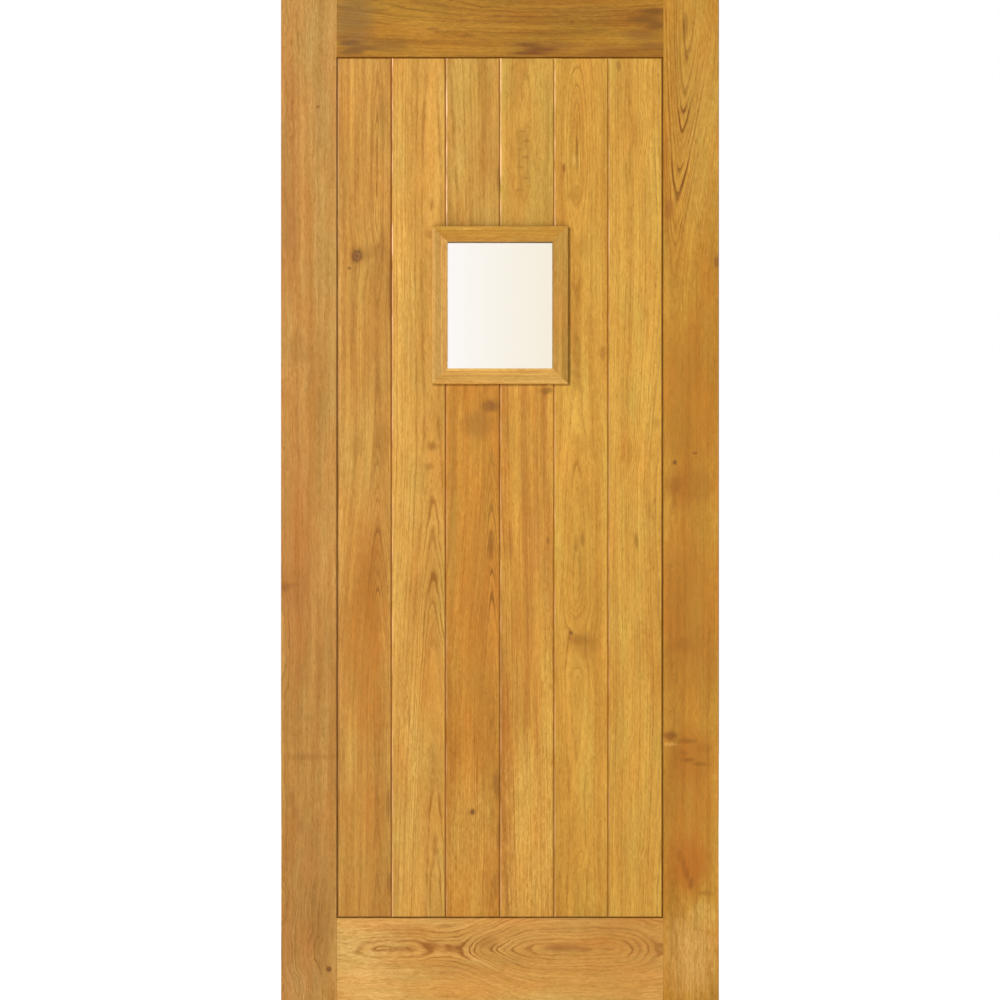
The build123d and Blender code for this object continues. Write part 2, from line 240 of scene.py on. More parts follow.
def build_figure():
    """Oak's figure in solid wood, for a place with X across the board, Y into it and Z along the grain.

    A face that is sawn near the pith shows cathedral arches and long ovals, and one that is sawn further
    off shows straight lines. Two noises first move the place a little, so that no line is quite true."""
    tree, given, out = group(
        "oak figure",
        {
            "Place": "Vector", "Pith across": "Float", "Pith depth": "Float", "Lean across": "Float",
            "Lean depth": "Float", "Taper": "Float", "Bend": "Float", "Swing": "Float", "Ring": "Float",
            "Wander": "Float", "Ripple": "Float", "Seed": "Float", "Swell": "Float",
        },
        {name: "Float" for name in ("Line", "Band", "Fibre", "Pores", "Tone", "Hue")},
    )
    shift = add(tree, "ShaderNodeVectorMath", {0: SEED_STEP, "Scale": given["Seed"]}, operation="SCALE")
    seeded = add(tree, "ShaderNodeVectorMath", {0: given["Place"], 1: shift.outputs[0]}).outputs[0]
    moved = given["Place"]
    for noise, reach in ((WANDER, given["Wander"]), (RIPPLE, given["Ripple"])):
        move = shove(tree, streaks(tree, seeded, *noise), reach)
        moved = add(tree, "ShaderNodeVectorMath", {0: moved, 1: move}).outputs[0]
    x, y, z = add(tree, "ShaderNodeSeparateXYZ", {0: moved}).outputs
    age, flat = measure_rings(tree, given, x, y, z)
    ringed = add(tree, "ShaderNodeCombineXYZ", {0: age, 1: x, 2: z}).outputs[0]
    line = draw_early_wood(tree, age, flat, ringed)
    # golden and orange bands, three rings wide
    band = streaks(tree, ringed, *BANDS)["Fac"]
    # fibres that curl by 3 mm over 25 mm, with coarser strands that keep to their rings
    curl = shove(tree, streaks(tree, seeded, *CURL), CURL_REACH)
    curled = add(tree, "ShaderNodeVectorMath", {0: moved, 1: curl}).outputs[0]
    fibre = streaks(tree, curled, *FIBRES)["Fac"]
    strand = streaks(tree, ringed, *STRANDS)["Fac"]
    fibre = add(tree, "ShaderNodeMix", {0: STRAND_SHARE, 2: fibre, 3: strand}).outputs[0]
    # open pores, thickest in the early wood
    dash = streaks(tree, curled, *PORES)["Fac"]
    dash = add(tree, "ShaderNodeMapRange", {"Value": dash, "From Min": 0.54, "From Max": 0.68}).outputs[0]
    crowd = add(
        tree, "ShaderNodeMath", {0: line, 1: CROWDED_PORES, 2: SCATTERED_PORES}, operation="MULTIPLY_ADD",
    ).outputs[0]
    pores = add(tree, "ShaderNodeMath", {0: dash, 1: crowd}, operation="MULTIPLY").outputs[0]
    slow = streaks(tree, seeded, *TONE)["Color"]
    tone, hue, _ = add(tree, "ShaderNodeSeparateColor", {0: slow}).outputs
    parts = {"Line": line, "Band": band, "Fibre": fibre, "Pores": pores, "Tone": tone, "Hue": hue}
    for name, socket in parts.items():
        tree.links.new(socket, out.inputs[name])
    return tree


def build_patch():
    """How far inside a soft-edged patch a place is: 1 at its middle, 0 outside. Push frays its edge."""
    tree, given, out = group(
        "oak patch",
        {"Place": "Vector", "Centre": "Vector", "Reach": "Vector", "Push": "Vector"},
        {"Inside": "Float"},
    )
    arm = add(tree, "ShaderNodeVectorMath", {0: given["Place"], 1: given["Centre"]}, operation="SUBTRACT")
    arm = add(tree, "ShaderNodeVectorMath", {0: arm.outputs[0], 1: given["Reach"]}, operation="DIVIDE")
    arm = add(tree, "ShaderNodeVectorMath", {0: arm.outputs[0], 1: given["Push"]})
    away = add(tree, "ShaderNodeVectorMath", {0: arm.outputs[0]}, operation="LENGTH").outputs["Value"]
    inside_it = add(
        tree, "ShaderNodeMapRange",
        {"Value": away, "From Min": 0.3, "From Max": 1.15, "To Min": 1.0, "To Max": 0.0},
        interpolation_type="SMOOTHSTEP",
    )
    tree.links.new(inside_it.outputs[0], out.inputs[0])
    return tree


FIGURE = build_figure()
PATCH = build_patch()


def surface(name, roughness, metallic=0.0, ior=None):
    """A new material with its tree, its shader and the place on the piece in metres."""
    material = bpy.data.materials.new(name)
    material.use_nodes = True
    tree = material.node_tree
    shader = tree.nodes["Principled BSDF"]
    shader.inputs["Roughness"].default_value = roughness
    shader.inputs["Metallic"].default_value = metallic
    if ior:
        shader.inputs["IOR"].default_value = ior
    return material, tree, shader, add(tree, "ShaderNodeTexCoord").outputs["Object"]


def inside(piece, x, z, reach_x, reach_z, push=(0, 0, 0)):
    """How far inside a patch of a piece a place is. piece is its tree, its place and its face's depth."""
    tree, place, face = piece
    centre = (x * MM, face, z * MM)
    reach = (reach_x * MM, MARK_DEPTH, reach_z * MM)
    patch = {"Place": place, "Centre": centre, "Reach": reach, "Push": push}
    return add(tree, "ShaderNodeGroup", patch, node_tree=PATCH).outputs[0]


def stain(piece, colour, fibre, fray, marks):
    """Lays a piece's stains on its colour, each with a frayed edge and stronger in some fibres."""
    tree = piece[0]
    grained = add(
        tree, "ShaderNodeMath", {0: fibre, 1: STAIN_GRAIN[0], 2: STAIN_GRAIN[1]}, operation="MULTIPLY_ADD",
    ).outputs[0]
    for tone, x, z, reach_x, reach_z, strength in marks:
        near = inside(piece, x, z, reach_x, reach_z, fray)
        amount = add(tree, "ShaderNodeMath", {0: near, 1: strength}, operation="MULTIPLY")
        amount = add(
            tree, "ShaderNodeMath", {0: amount.outputs[0], 1: grained}, operation="MULTIPLY", use_clamp=True,
        )
        stained = {0: amount.outputs[0], 6: colour, 7: linear(tone)}
        colour = add(tree, "ShaderNodeMix", stained, data_type="RGBA").outputs[2]
    return colour


def knot(piece, colour, fray, knots):
    """Draws a piece's knots on its colour, each from its dark halo to its heart."""
    tree = piece[0]
    for x, z, radius, _ in knots:
        for tone, share, strength in KNOT_PARTS:
            near = inside(piece, x, z, share * radius, share * radius * KNOT_LENGTH, fray)
            amount = add(tree, "ShaderNodeMath", {0: near, 1: strength}, operation="MULTIPLY")
            drawn = {0: amount.outputs[0], 6: colour, 7: linear(tone)}
            colour = add(tree, "ShaderNodeMix", drawn, data_type="RGBA").outputs[2]
    return colour


def paint_chamfer_light(tree, place, colour, chamfer_highlight, chamfer_shade):
    """Paints shade into a piece's chamfers, and a highlight on the ones that face left, the key light's side,
    by the given share and most of all high up; these get less of the painted shade.
    """
    facing = add(tree, "ShaderNodeTexCoord").outputs["Normal"]
    sideways, outward, _ = add(tree, "ShaderNodeSeparateXYZ", {0: facing}).outputs
    outward = add(tree, "ShaderNodeMath", {0: outward}, operation="ABSOLUTE").outputs[0]
    chamfer = add(
        tree, "ShaderNodeMath", {0: outward, 1: math.sqrt(0.5), 2: CHAMFER_SPREAD}, operation="COMPARE",
    ).outputs[0]
    # The share of painted highlight on the chamfers that face left, the key light's side
    left = add(
        tree, "ShaderNodeMapRange", {"Value": sideways, "From Min": -0.4, "From Max": -0.6, "To Max": chamfer_highlight},
    ).outputs[0]
    # Painted shade on every chamfer, less on those that take the painted highlight
    painted_chamfer_shade = add(tree, "ShaderNodeMath", {0: 1.0, 1: left}, operation="SUBTRACT").outputs[0]
    for share in (chamfer_shade, chamfer):
        painted_chamfer_shade = add(tree, "ShaderNodeMath", {0: painted_chamfer_shade, 1: share}, operation="MULTIPLY").outputs[0]
    # The highlight is painted stronger high up, and in patches
    height = add(tree, "ShaderNodeSeparateXYZ", {0: place}).outputs[2]
    low, high = HIGHLIGHT_HEIGHTS
    highlight_by_height = add(
        tree, "ShaderNodeMapRange",
        {"Value": height, "From Min": low, "From Max": high, "To Min": LEAST_HIGHLIGHT},
    ).outputs[0]
    patchy = streaks(tree, place, *HIGHLIGHT_PATCHES)["Fac"]
    patchy = add(
        tree, "ShaderNodeMapRange", {"Value": patchy, "From Min": 0.38, "From Max": 0.62, "To Min": 0.1},
    ).outputs[0]
    painted_highlight = left
    for share in (highlight_by_height, patchy):
        painted_highlight = add(tree, "ShaderNodeMath", {0: painted_highlight, 1: share}, operation="MULTIPLY").outputs[0]
    for amount, tone in ((painted_chamfer_shade, CHAMFER_SHADE_TONE), (painted_highlight, CHAMFER_HIGHLIGHT_TONE)):
        coated = {0: amount, 6: colour, 7: linear(tone)}
        colour = add(tree, "ShaderNodeMix", coated, data_type="RGBA").outputs[2]
    return colour


def oak(
    name, grain, middle, pith, ring, tones, figure=0.3, wander=10, ripple=2.0, seed=1.0,
    flames=(), marks=(), knots=(), chamfer_highlight=None, chamfer_shade=0.3, face=BOARD_FACE,
):
    """Oiled oak, planed and sanded: a warm satin skin over open pores, with the lines of each year's early
    wood, golden and orange bands, slow changes of tone, and the piece's own stains and knots.

    Lengths are in millimetres. middle is where the pith's values hold: the place across the board and
    along it. pith gives across, depth, lean across, lean depth, taper, the reach of its bend, and swing.
    tones are the pale wood, the deep wood and the early wood's line, and figure is how bold that line is.
    A flame is x, z, its reach in x and z, how much bolder the lines are there and how far the rings bulge
    out. A mark is a colour, x, z, its reach in x and z, and its strength. A knot is x, z, its radius and
    how far it pushes the rings out, in radii. Of the last three arguments, the first is the painted
    highlight on a board's chamfer that faces left, the key light's side, most of all high up, and the
    second the painted shade in the chamfers."""
    material, tree, shader, place = surface(name, OAK_ROUGHNESS[0], ior=OAK_IOR)
    piece = (tree, place, face)
    across, along = (value * MM for value in middle)
    if grain == "z":
        mapping = {"Location": (-across, -face, -along)}
    else:
        mapping = {"Location": (-across, -face, along), "Rotation": (0, math.pi / 2, 0)}
    local = add(tree, "ShaderNodeMapping", {"Vector": place, **mapping}).outputs[0]
    swell = 0.0
    for x, z, radius, push in knots:
        near = inside(piece, x, z, KNOT_REACH[0] * radius, KNOT_REACH[1] * radius)
        pushed = {0: near, 1: push * radius * MM, 2: swell}
        swell = add(tree, "ShaderNodeMath", pushed, operation="MULTIPLY_ADD").outputs[0]
    for x, z, reach_x, reach_z, bolder, bulge in flames:
        near = inside(piece, x, z, reach_x, reach_z)
        bulged = {0: near, 1: bulge * MM, 2: swell}
        swell = add(tree, "ShaderNodeMath", bulged, operation="MULTIPLY_ADD").outputs[0]
        emboldened = {0: near, 1: bolder, 2: figure}
        figure = add(tree, "ShaderNodeMath", emboldened, operation="MULTIPLY_ADD").outputs[0]
    figured = add(
        tree, "ShaderNodeGroup",
        {
            "Place": local, "Pith across": pith[0] * MM, "Pith depth": pith[1] * MM,
            "Lean across": pith[2], "Lean depth": pith[3], "Taper": pith[4], "Bend": pith[5] * MM,
            "Swing": pith[6] * MM, "Ring": ring * MM, "Wander": wander * MM, "Ripple": ripple * MM,
            "Seed": seed, "Swell": swell,
        },
        node_tree=FIGURE,
    ).outputs
    pale, deep, early = (linear(tone) for tone in tones)
    band = add(
        tree, "ShaderNodeMapRange",
        {"Value": figured["Band"], "From Min": 0.34, "From Max": 0.66, "To Min": 0.2, "To Max": 0.8},
    ).outputs[0]
    colour = add(tree, "ShaderNodeMix", {0: band, 6: pale, 7: deep}, data_type="RGBA").outputs[2]
    fray = shove(tree, streaks(tree, local, *FRAY), FRAY_REACH)
    colour = stain(piece, colour, figured["Fibre"], fray, marks)
    drawn = add(tree, "ShaderNodeMath", {0: figured["Line"], 1: figure}, operation="MULTIPLY", use_clamp=True)
    lined = {0: drawn.outputs[0], 6: colour, 7: early}
    colour = add(tree, "ShaderNodeMix", lined, data_type="RGBA").outputs[2]
    colour = knot(piece, colour, fray, knots)
    for shade, dark, bright in SHADES:
        amount = add(
            tree, "ShaderNodeMapRange", {"Value": figured[shade], "From Min": 0.28, "From Max": 0.72},
        ).outputs[0]
        tint = add(tree, "ShaderNodeMix", {0: amount, 6: dark, 7: bright}, data_type="RGBA").outputs[2]
        colour = add(tree, "ShaderNodeVectorMath", {0: colour, 1: tint}, operation="MULTIPLY").outputs[0]
    filled = add(tree, "ShaderNodeMath", {0: figured["Pores"], 1: FILLED_PORES}, operation="MULTIPLY")
    filling = {0: filled.outputs[0], 6: colour, 7: linear(PORE_FILLING)}
    colour = add(tree, "ShaderNodeMix", filling, data_type="RGBA").outputs[2]
    if chamfer_highlight is not None:
        colour = paint_chamfer_light(tree, place, colour, chamfer_highlight, chamfer_shade)
    tree.links.new(colour, shader.inputs["Base Color"])
    satin, dull = OAK_ROUGHNESS
    rough = add(tree, "ShaderNodeMapRange", {"Value": figured["Pores"], "To Min": satin, "To Max": dull})
    tree.links.new(rough.outputs[0], shader.inputs["Roughness"])
    shader.inputs["Specular IOR Level"].default_value = OAK_GLOSS
    relief = add(tree, "ShaderNodeMath", {0: figured["Pores"], 1: PORE_RELIEF}, operation="MULTIPLY")
    sunk = {0: figured["Line"], 1: LINE_RELIEF, 2: relief.outputs[0]}
    relief = add(tree, "ShaderNodeMath", sunk, operation="MULTIPLY_ADD").outputs[0]
    bump = {"Height": relief, "Distance": OAK_RELIEF * MM, "Strength": OAK_BUMP}
    tree.links.new(add(tree, "ShaderNodeBump", bump).outputs[0], shader.inputs["Normal"])
    return material


def dress(node, material):
    """Puts a material on a piece's only slot."""
    mesh = bpy.data.objects[node].data
    mesh.materials.clear()
    mesh.materials.append(material)


# The outside pieces, each with the figure, tones and marks that the photograph shows
OUTSIDE = {
    "left_stile": dict(
        grain="z", middle=(-377, 1000), pith=(-100, 100, 0.02, 0.02, 0.0, 1200, 0.0), ring=4.5,
        tones=("a37a3d", "8e5f24", "6d4315"), figure=0.45, wander=12, ripple=9, seed=3.1,
        flames=[
            (-385, 142, 67, 148, 0.7, 12), (-419, 192, 28, 47, 0.3, -12), (-371, 99, 32, 43, 0.3, 11),
            (-395, 34, 43, 28, 0.3, -9), (-415, 714, 32, 118, 0.4, -8),
        ],
        marks=[
            ("9c7940", -379, 1858, 90.7, 249.5, 0.36), ("8f5b2a", -419, 1602, 27.2, 272.2, 0.36),
            ("865521", -411, 1484, 18.1, 136.1, 0.29), ("915422", -403, 872, 49.9, 317.6, 0.43),
            ("6b4319", -359, 1766, 4.9, 3.9, 0.72), ("6b3f15", -423, 819, 15.9, 11.3, 0.58),
            ("754719", -407, 823, 13.6, 6.8, 0.36), ("835421", -411, 813, 36.3, 68.1, 0.36),
            ("845b28", -399, 1286, 27.2, 40.8, 0.36), ("7d4f1f", -375, 484, 68.1, 9.1, 0.4),
            ("785121", -411, 403, 9.1, 20.4, 0.36), ("785121", -403, 375, 9.1, 20.4, 0.36),
            ("785121", -395, 347, 9.1, 20.4, 0.36), ("915b26", -385, 201, 68.1, 204.2, 0.36),
            ("975824", -421, 83, 18.1, 136.1, 0.36), ("7d511e", -352, 142, 27.2, 90.7, 0.29),
            ("9e7741", -395, 34, 56.7, 56.7, 0.36), ("835622", -346, 695, 18.1, 136.1, 0.29),
        ],
        knots=[(-338, 65, 4.3, 1.2)],
    ),
    "right_stile": dict(
        grain="z", middle=(377, 1710), pith=(-18, 12, 0.075, 0.0, -0.115, 320, 2.0), ring=5.2,
        tones=("a87b2b", "93621a", "643806"), figure=0.3, wander=3, ripple=2.5, seed=5.4,
        flames=[(354, 1740, 51, 316, 1.1, 0)],
        marks=[
            ("a68238", 393, 1760, 59, 294.9, 0.4), ("88500a", 373, 1188, 77.1, 249.5, 0.47),
            ("8b510f", 373, 754, 77.1, 249.5, 0.5), ("73460f", 366, 1924, 6.8, 31.8, 0.58),
            ("7c4d19", 334, 1565, 13.6, 27.2, 0.58), ("663c11", 427, 1460, 6.8, 15.9, 0.58),
            ("6f4111", 385, 1083, 5.9, 3.9, 0.72), ("885417", 373, 1016, 59, 45.4, 0.43),
            ("794915", 346, 1020, 22.7, 22.7, 0.36), ("905e1b", 373, 714, 59, 49.9, 0.32),
            ("7e4d14", 362, 706, 20.4, 22.7, 0.43), ("8e500f", 377, 484, 63.5, 72.6, 0.54),
            ("6f3d0f", 336, 525, 15.9, 11.3, 0.79), ("b6843d", 336, 509, 15.9, 4.5, 0.65),
            ("72450d", 369, 515, 25, 6.8, 0.54), ("794910", 362, 491, 13.6, 6.8, 0.43),
            ("6f410c", 371, 478, 18.1, 5.7, 0.61), ("6f410c", 393, 470, 18.1, 5.7, 0.5),
            ("7c4b12", 405, 501, 20.4, 13.6, 0.32), ("925614", 373, 369, 54.4, 136.1, 0.5),
            ("925111", 377, 269, 59, 68.1, 0.61), ("774612", 354, 290, 6.8, 15.9, 0.43),
            ("774612", 362, 272, 6.8, 15.9, 0.5), ("724110", 369, 255, 6.8, 15.9, 0.54),
            ("724110", 377, 235, 7.9, 15.9, 0.54), ("7c4912", 405, 215, 20.4, 6.8, 0.43),
            ("b3893e", 405, 174, 36.3, 29.5, 0.72), ("af8240", 377, 93, 72.6, 104.4, 0.79),
            ("895116", 338, 793, 18.1, 181.5, 0.29),
        ],
        knots=[(345, 1065, 3.4, 1.0)],
    ),
    "top_rail": dict(
        grain="x", middle=(1924, 0), pith=(60, 50, 0.0, 0.02, 0.0, 1200, 6.0), ring=4.5,
        tones=("986c1e", "764b0c", "593508"), figure=0.7, ripple=4, seed=7.7,
        marks=[
            ("684d2a", -288, 1937, 54.4, 77.1, 0.54), ("4d3216", -296, 1892, 31.8, 6.8, 0.58),
            ("523619", -272, 1882, 40.8, 6.8, 0.58), ("4d3216", -294, 1874, 31.8, 6.8, 0.58),
            ("604119", -221, 1886, 49.9, 15.9, 0.43), ("9d7022", -154, 1922, 54.4, 25, 0.5),
            ("966920", -59, 1933, 90.7, 27.2, 0.32), ("6e4416", 71, 1884, 68.1, 18.1, 0.36),
            ("552b0b", 55, 1888, 36.3, 5.7, 0.58), ("522a0a", 79, 1880, 40.8, 6.8, 0.72),
            ("552b0b", 63, 1872, 49.9, 5.9, 0.65), ("6e4619", 118, 1884, 54.4, 13.6, 0.43),
            ("53300c", 300, 1955, 31.8, 9.1, 0.58), ("59350d", 284, 1939, 40.8, 9.1, 0.58),
            ("53300c", 306, 1926, 27.2, 11.3, 0.58), ("603915", 280, 1908, 49.9, 13.6, 0.5),
            ("603915", 296, 1886, 36.3, 11.3, 0.43), ("6b4416", 217, 1878, 68.1, 13.6, 0.36),
            ("603c12", -132, 1920, 18.1, 3.2, 0.43), ("603c12", -67, 1906, 22.7, 3.6, 0.43),
            ("603c12", -32, 1898, 18.1, 3.2, 0.36), ("603c12", -6, 1945, 11.3, 4.1, 0.43),
            ("603c12", 142, 1933, 5.9, 3.6, 0.54), ("603c12", -237, 1957, 27.2, 3.6, 0.36),
            ("603c12", 197, 1918, 27.2, 3.6, 0.36), ("906623", 178, 1953, 90.7, 18.1, 0.29),
        ],
    ),
    "bottom_rail": dict(
        grain="x", middle=(105, -8), pith=(0, 8, 0.0, 0.0, 0.45, 95, 0.0), ring=7.5,
        tones=("ba8f4b", "a57633", "7f4c18"), figure=0.35, wander=5, ripple=10, seed=9.2,
        flames=[
            (39, 119, 395, 87, 1.1, 0), (-103, 115, 67, 99, 0.2, 12), (-320, 115, 67, 99, 0.1, 14),
            (355, 111, 118, 118, 0.1, 34),
        ],
        marks=[
            ("bf9856", -264, 103, 99.8, 136.1, 0.47), ("bb9352", -256, 34, 113.4, 45.4, 0.43),
            ("a66623", 252, 119, 113.4, 99.8, 0.36), ("a46625", 39, 127, 136.1, 68.1, 0.25),
            ("804c1b", -138, 111, 27.2, 11.3, 0.65), ("824b1e", 128, 107, 49.9, 11.3, 0.68),
            ("a57033", -59, 61, 102.1, 15.9, 0.36), ("895a23", -24, 121, 27.2, 18.1, 0.43),
            ("99662b", 197, 152, 113.4, 18.1, 0.29), ("af813b", 0, 34, 340.3, 27.2, 0.36),
            ("a5712d", 237, 83, 136.1, 90.7, 0.29), ("936228", -197, 142, 68.1, 13.6, 0.29),
        ],
    ),
    "board_1": dict(
        grain="z", middle=(-267, 850), pith=(25, 8, 0.0, 0.0, 0.1, 300, 4.0), ring=4.0,
        tones=("af833b", "8c5d22", "714610"), figure=0.6, seed=11.0, chamfer_highlight=0.3, chamfer_shade=0.35,
        flames=[(-245, 843, 36, 138, 0.5, 0), (-234, 1602, 32, 227, 0.5, -7)],
        marks=[
            ("b48745", -314, 990, 5.7, 952.8, 0.36), ("985a13", -267, 714, 59, 249.5, 0.5),
            ("8d5310", -251, 813, 27.2, 136.1, 0.4), ("9a631f", -267, 320, 59, 204.2, 0.29),
            ("805a20", -232, 1109, 22.7, 49.9, 0.43), ("875e23", -281, 1099, 20.4, 27.2, 0.36),
            ("82571f", -234, 1760, 15.9, 54.4, 0.4), ("784e18", -234, 1492, 13.6, 36.3, 0.32),
            ("7b531e", -257, 1480, 31.8, 18.1, 0.29), ("613a0e", -216, 1405, 5.7, 102.1, 0.58),
            ("643e14", -297, 1448, 4.7, 4.7, 0.81), ("694010", -220, 393, 6.8, 45.4, 0.5),
            ("694010", -218, 235, 6.8, 31.8, 0.5), ("875f24", -297, 1622, 18.1, 90.7, 0.25),
        ],
        knots=[(-282, 1472, 11, 1.3)],
    ),
    "board_2": dict(
        grain="z", middle=(-160, 600), pith=(30, 16, -0.01, 0.01, 0.05, 650, 3.0), ring=6.5,
        tones=("b88d41", "9c6d29", "7a4a0c"), figure=0.8, wander=8, ripple=4.5, seed=13.3, chamfer_highlight=0.8,
        chamfer_shade=0.3,
        flames=[(-149, 675, 79, 592, 0.15, 0)],
        marks=[
            ("7d551d", -139, 1515, 13.6, 11.3, 0.43), ("784e17", -134, 1097, 13.6, 11.3, 0.65),
            ("7b5217", -139, 1056, 11.3, 9.1, 0.5), ("7b5a20", -204, 231, 7.9, 86.2, 0.4),
            ("bd9246", -175, 517, 31.8, 136.1, 0.36), ("a46d23", -139, 596, 31.8, 136.1, 0.25),
            ("bc9145", -190, 1484, 18.1, 249.5, 0.29),
        ],
    ),
    "board_3_upper": dict(
        grain="z", middle=(-53, 1700), pith=(-60, 70, 0.0, 0.01, 0.0, 1200, 0.0), ring=4.5,
        tones=("b08940", "8f6323", "754b11"), figure=0.55, seed=15.1, chamfer_highlight=0.9, chamfer_shade=0.15,
        marks=[
            ("a57e35", -44, 1612, 54.4, 77.1, 0.29), ("977022", -52, 1799, 54.4, 77.1, 0.29),
            ("8a5e21", -17, 1701, 20.4, 181.5, 0.29), ("ad8c43", -84, 1701, 20.4, 204.2, 0.25),
            ("ad883f", -76, 1839, 22.7, 45.4, 0.29), ("6c4616", -3, 1628, 5.7, 36.3, 0.5),
        ],
    ),
    "board_3_lower": dict(
        grain="z", middle=(-53, 820), pith=(36, 6, 0.0, 0.0, 0.09, 260, 4.0), ring=4.0,
        tones=("ac782c", "935e19", "6d4211"), figure=0.6, seed=17.2, chamfer_highlight=0.5, chamfer_shade=0.08,
        flames=[(-21, 813, 39, 217, 0.4, 0)],
        marks=[
            ("6b4318", -19, 1176, 22.7, 15.9, 0.72), ("784e1c", -44, 1140, 40.8, 36.3, 0.43),
            ("856224", -94, 990, 11.3, 249.5, 0.43), ("6d4312", -18, 900, 6.8, 31.8, 0.58),
            ("965d18", -44, 793, 31.8, 272.2, 0.29), ("b07e31", -88, 714, 11.3, 204.2, 0.29),
            ("7b4618", -60, 375, 18.1, 11.3, 0.43), ("673c11", -7, 428, 9.1, 36.3, 0.58),
            ("673c11", -3, 330, 6.8, 40.8, 0.5), ("6d4312", -9, 231, 9.1, 31.8, 0.43),
            ("b4893c", -56, 300, 68.1, 204.2, 0.4),
        ],
        knots=[(-54, 375, 3.9, 1.0)],
    ),
    "board_4_upper": dict(
        grain="z", middle=(53, 1700), pith=(-6, 26, 0.0, 0.0, 0.0, 1200, 4.0), ring=4.0,
        tones=("ae873a", "986d27", "764d13"), figure=0.35, ripple=8, seed=19.9, chamfer_highlight=0.8, chamfer_shade=0.1,
        marks=[
            ("8b6320", 49, 1681, 18.1, 49.9, 0.29), ("8d6321", 45, 1602, 18.1, 36.3, 0.25),
            ("765119", 43, 1718, 10, 3.4, 0.4), ("765119", 52, 1699, 10, 3.6, 0.43),
            ("765119", 41, 1683, 7.9, 2.8, 0.45), ("765119", 50, 1667, 10, 4.1, 0.43),
            ("765119", 43, 1647, 7.9, 3, 0.45), ("765119", 52, 1626, 7.9, 3, 0.41),
            ("765119", 39, 1602, 10, 3.6, 0.32),
        ],
    ),
    "board_4_lower": dict(
        grain="z", middle=(53, 700), pith=(-70, 60, 0.0, 0.01, 0.0, 1200, 0.0), ring=4.0,
        tones=("b78735", "905a1e", "734610"), figure=0.65, seed=21.4, chamfer_highlight=0.7, chamfer_shade=0.1,
        marks=[
            ("664010", 92, 1206, 15.9, 9.1, 0.65), ("88501d", 21, 906, 6.8, 49.9, 0.5),
            ("9c642b", 70, 902, 13.6, 102.1, 0.43), ("6a3e10", 95, 910, 4.1, 11.3, 0.58),
            ("b8913e", 94, 537, 15.9, 340.3, 0.5), ("955f1c", 30, 793, 18.1, 113.4, 0.29),
            ("ba9244", 58, 310, 68.1, 249.5, 0.43),
        ],
    ),
    "board_5": dict(
        grain="z", middle=(160, 1700), pith=(-8, 18, 0.0, 0.0, 0.02, 900, 5.0), ring=4.0,
        tones=("b38837", "9c6d24", "744a0f"), figure=0.4, wander=6, ripple=4, seed=23.5, chamfer_highlight=0.6, chamfer_shade=0.2,
        flames=[(150, 1705, 53, 158, 0.5, -14), (168, 284, 20, 28, 0.0, -5), (156, 714, 51, 79, 0.2, 8)],
        marks=[
            ("bc9548", 150, 1661, 9.1, 13.6, 0.43), ("702e09", 126, 1645, 4.5, 11.3, 0.72),
            ("90561c", 124, 1630, 6.8, 13.6, 0.43), ("87611c", 144, 1590, 18.1, 15.9, 0.36),
            ("8e6420", 164, 1488, 18.1, 27.2, 0.29), ("784f17", 203, 1280, 7.9, 18.1, 0.5),
            ("966823", 168, 1101, 31.8, 27.2, 0.32), ("6b4511", 163, 914, 5.4, 18.1, 0.58),
            ("865717", 166, 706, 34, 31.8, 0.5), ("734913", 158, 714, 27.2, 13.6, 0.5),
            ("b98d37", 168, 284, 18.1, 31.8, 0.36), ("b38633", 160, 211, 54.4, 45.4, 0.29),
            ("9c6b20", 176, 793, 36.3, 249.5, 0.32),
        ],
        knots=[(140, 728, 3, 0.6)],
    ),
    "board_6": dict(
        grain="z", middle=(267, 1000), pith=(60, 50, 0.0, 0.01, 0.0, 1200, 3.0), ring=4.0,
        tones=("b58b39", "9f7129", "774e13"), figure=0.6, seed=25.8, chamfer_highlight=0.4, chamfer_shade=0.2,
        flames=[(273, 1716, 24, 51, 0.4, 8), (257, 1083, 28, 36, 0.4, 7), (275, 284, 18, 24, 0.1, -5)],
        marks=[
            ("734f17", 234, 1847, 6.8, 13.6, 0.5), ("996d26", 273, 1716, 20.4, 49.9, 0.25),
            ("8b621e", 309, 1142, 9.1, 13.6, 0.5), ("9b6d23", 255, 1083, 25, 27.2, 0.29),
            ("6a4411", 269, 910, 5.4, 20.4, 0.58), ("a5772e", 293, 1385, 18.1, 181.5, 0.22),
            ("bb913f", 275, 284, 18.1, 22.7, 0.36),
        ],
    ),
}
for name, looks in OUTSIDE.items():
    wood = "oiled oak, " + name.replace("_", " ")
    if name.startswith("board"):
        dress("front_" + name, oak(wood, **looks))
    else:
        dress(name, oak(wood, chamfer_highlight=0.0, chamfer_shade=0.1, face=OUTER_FACE, **looks))

# The inside boards are plainer: pith across, pith depth, swing, figure, tones and seed
INSIDE = {
    "board_1": (20, 40, 4.0, 0.35, ("ae8338", "996a28", "734911"), 61.0),
    "board_2": (-70, 60, 0.0, 0.3, ("b28739", "9d6e2a", "774d12"), 62.3),
    "board_3_upper": (5, 12, 8.0, 0.5, ("ab7f35", "966726", "714610"), 63.9),
    "board_3_lower": (-30, 30, 5.0, 0.4, ("af8234", "9b6b25", "774d12"), 64.2),
    "board_4_upper": (60, 50, 0.0, 0.3, ("b38a3d", "a0712c", "794f10"), 65.7),
    "board_4_lower": (12, 16, 8.0, 0.5, ("a87a2e", "936121", "6f4410"), 66.4),
    "board_5": (-60, 40, 3.0, 0.35, ("b28636", "9d6e28", "774d12"), 67.1),
    "board_6": (30, 26, 6.0, 0.45, ("ac7f32", "986924", "734911"), 68.8),
}
